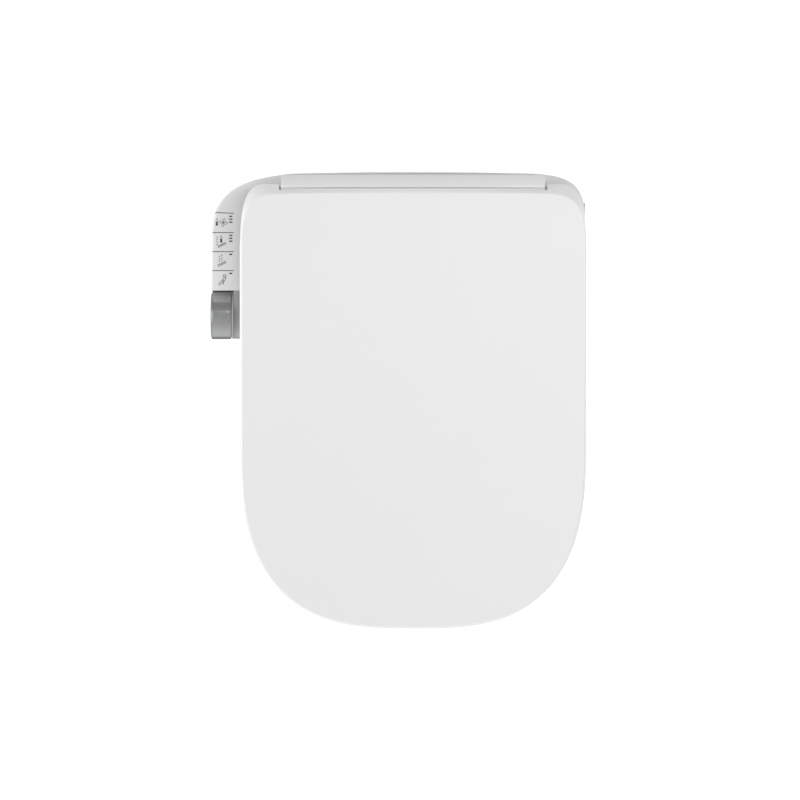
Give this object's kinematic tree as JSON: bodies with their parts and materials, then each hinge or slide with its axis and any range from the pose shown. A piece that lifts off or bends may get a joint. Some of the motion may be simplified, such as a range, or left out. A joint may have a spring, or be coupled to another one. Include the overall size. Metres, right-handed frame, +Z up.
{
  "type": "electric bidet seat",
  "caption": "Electric bidet seat for a toilet bowl: soft-close lid over a heated seat ring, on a rear housing with a side control arm, a metal dial, a spray wand and a dryer.",
  "frame": {"origin": "on the top of the bowl rim, midway between the two mounting bolts, at the underside of the mounting bracket", "axes": "+Z up, +Y to the rear, towards the cistern, +X to the right seen from above, so the control arm is at -X"},
  "size_m": [0.4016, 0.4872, 0.158],
  "materials": {
    "white_gloss": "moulded, high gloss",
    "white_matt": "moulded, fine matt",
    "grey_plastic": "moulded, satin",
    "dark_plastic": "moulded, matt",
    "satin_metal": "satin anodised",
    "steel": "bright drawn",
    "black_rubber": "moulded, matt",
    "pale_rubber": "moulded, matt",
    "circuit_board": "solder mask",
    "clear_lens": "clear moulded",
    "heater_foil": "foil with adhesive",
    "charcoal": "porous carbon in a plastic frame"
  },
  "bodies": {
    "bracket": {"mounting_bracket": "grey_plastic", "mounting_bolt_left": "steel", "mounting_bolt_right": "steel", "rubber_washer_left": "black_rubber", "rubber_washer_right": "black_rubber", "wing_nut_left": "steel", "wing_nut_right": "steel"},
    "housing": {"base_chassis": "white_gloss", "top_cover": "white_gloss", "foot_front_left": "black_rubber", "foot_front_right": "black_rubber", "foot_rear_left": "black_rubber", "foot_rear_right": "black_rubber", "knob_bezel": "grey_plastic", "encoder_body": "dark_plastic", "display_board": "circuit_board", "led_light_pipe": "clear_lens", "main_circuit_board": "circuit_board", "power_supply": "dark_plastic", "water_heater": "white_matt", "inlet_valve": "grey_plastic", "inlet_union": "steel", "inlet_strainer": "steel", "cable_gland": "black_rubber", "nozzle_cradle": "grey_plastic", "nozzle_motor": "steel", "blower_housing": "grey_plastic", "blower_motor": "steel", "dryer_duct": "grey_plastic", "hinge_pin_left": "steel", "hinge_pin_right": "steel", "seat_damper": "dark_plastic", "lid_damper": "dark_plastic"},
    "seat": {"seat_top_shell": "white_gloss", "seat_bottom_shell": "white_matt", "seat_heater": "heater_foil", "seat_bumper_front_left": "pale_rubber", "seat_bumper_front_right": "pale_rubber", "seat_bumper_rear_left": "pale_rubber", "seat_bumper_rear_right": "pale_rubber"},
    "lid": {"lid_shell": "white_gloss", "lid_bumper_left": "pale_rubber", "lid_bumper_right": "pale_rubber"},
    "knob_shaft": {"knob_shaft": "steel"},
    "knob": {"control_knob": "satin_metal"},
    "nozzle": {"nozzle_wand": "satin_metal", "nozzle_tip": "white_matt"},
    "pinion": {"nozzle_pinion": "white_matt"},
    "blower": {"blower_wheel": "dark_plastic"},
    "flap": {"dryer_flap": "white_gloss"},
    "filter": {"odour_filter": "charcoal"},
    "release": {"release_button": "grey_plastic"}
  },
  "joints": [
    {"name": "housing_slide", "type": "slide", "parent": "bracket", "child": "housing", "axis": [0, -1, 0], "range_m": [0, 0.09]},
    {"name": "seat_hinge", "type": "hinge", "parent": "housing", "child": "seat", "pos_m": [0, 0.033, 0.07], "axis": [1, 0, 0], "range_deg": [-95, 0]},
    {"name": "lid_hinge", "type": "hinge", "parent": "seat", "child": "lid", "pos_m": [0, 0.033, 0.07], "axis": [-1, 0, 0], "range_deg": [0, 100]},
    {"name": "knob_press", "type": "slide", "parent": "housing", "child": "knob_shaft", "axis": [1, 0, 0], "range_m": [0, 0.001], "stiffness_N_per_m": 2000},
    {"name": "knob_turn", "type": "hinge", "parent": "knob_shaft", "child": "knob", "pos_m": [-0.2, -0.101, 0.02085], "axis": [1, 0, 0], "continuous": true},
    {"name": "nozzle_slide", "type": "slide", "parent": "housing", "child": "nozzle", "axis": [0, -0.9659, -0.2588], "range_m": [0, 0.09]},
    {"name": "pinion_spin", "type": "hinge", "parent": "housing", "child": "pinion", "pos_m": [0, -0.05251, 0.03314], "axis": [-1, 0, 0], "range_deg": [0, 862]},
    {"name": "blower_spin", "type": "hinge", "parent": "housing", "child": "blower", "pos_m": [0.066, 0, 0.03], "axis": [0, 0, 1], "continuous": true},
    {"name": "flap_hinge", "type": "hinge", "parent": "housing", "child": "flap", "pos_m": [0.07, -0.0733, 0.0242], "axis": [-1, 0, 0], "range_deg": [0, 50]},
    {"name": "filter_slide", "type": "slide", "parent": "housing", "child": "filter", "axis": [1, 0, 0], "range_m": [0, 0.06]},
    {"name": "release_press", "type": "slide", "parent": "housing", "child": "release", "axis": [-1, 0, 0], "range_m": [0, 0.003], "stiffness_N_per_m": 1500}
  ],
  "couplings": [
    {"joint": "pinion_spin", "follows": "nozzle_slide", "rad_per_m": 166.67}
  ]
}
